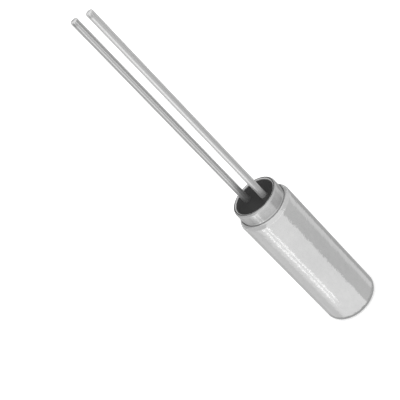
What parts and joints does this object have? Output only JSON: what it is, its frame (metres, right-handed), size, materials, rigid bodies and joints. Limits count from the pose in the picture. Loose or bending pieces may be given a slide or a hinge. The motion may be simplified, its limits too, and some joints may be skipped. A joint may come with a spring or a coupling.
{
  "type": "two-lead cylindrical quartz crystal",
  "caption": "Slim metal can with a closed rounded end, a glass-sealed header ring in its mouth and straight wire leads; a quartz blank is held inside.",
  "frame": {"origin": "centre of the closed end's flat outer face, on which the can stands", "axes": "+Z along the can's axis, from the closed end to the leads; the two leads lie in the XZ plane, the right one at +X"},
  "size_m": [0.003, 0.003, 0.022],
  "materials": {
    "can_metal": "satin nickel",
    "ring_metal": "dull plated",
    "seal_glass": "dark opaque glass",
    "tinned_wire": "tinned",
    "quartz": "polished quartz with thin silver film",
    "cement": "silver-filled cement"
  },
  "bodies": {
    "root": {"can": "can_metal", "header_ring": "ring_metal", "glass_seal": "seal_glass", "lead_left": "tinned_wire", "lead_right": "tinned_wire", "quartz_blank": "quartz", "joint_left": "cement", "joint_right": "cement"}
  },
  "joints": []
}
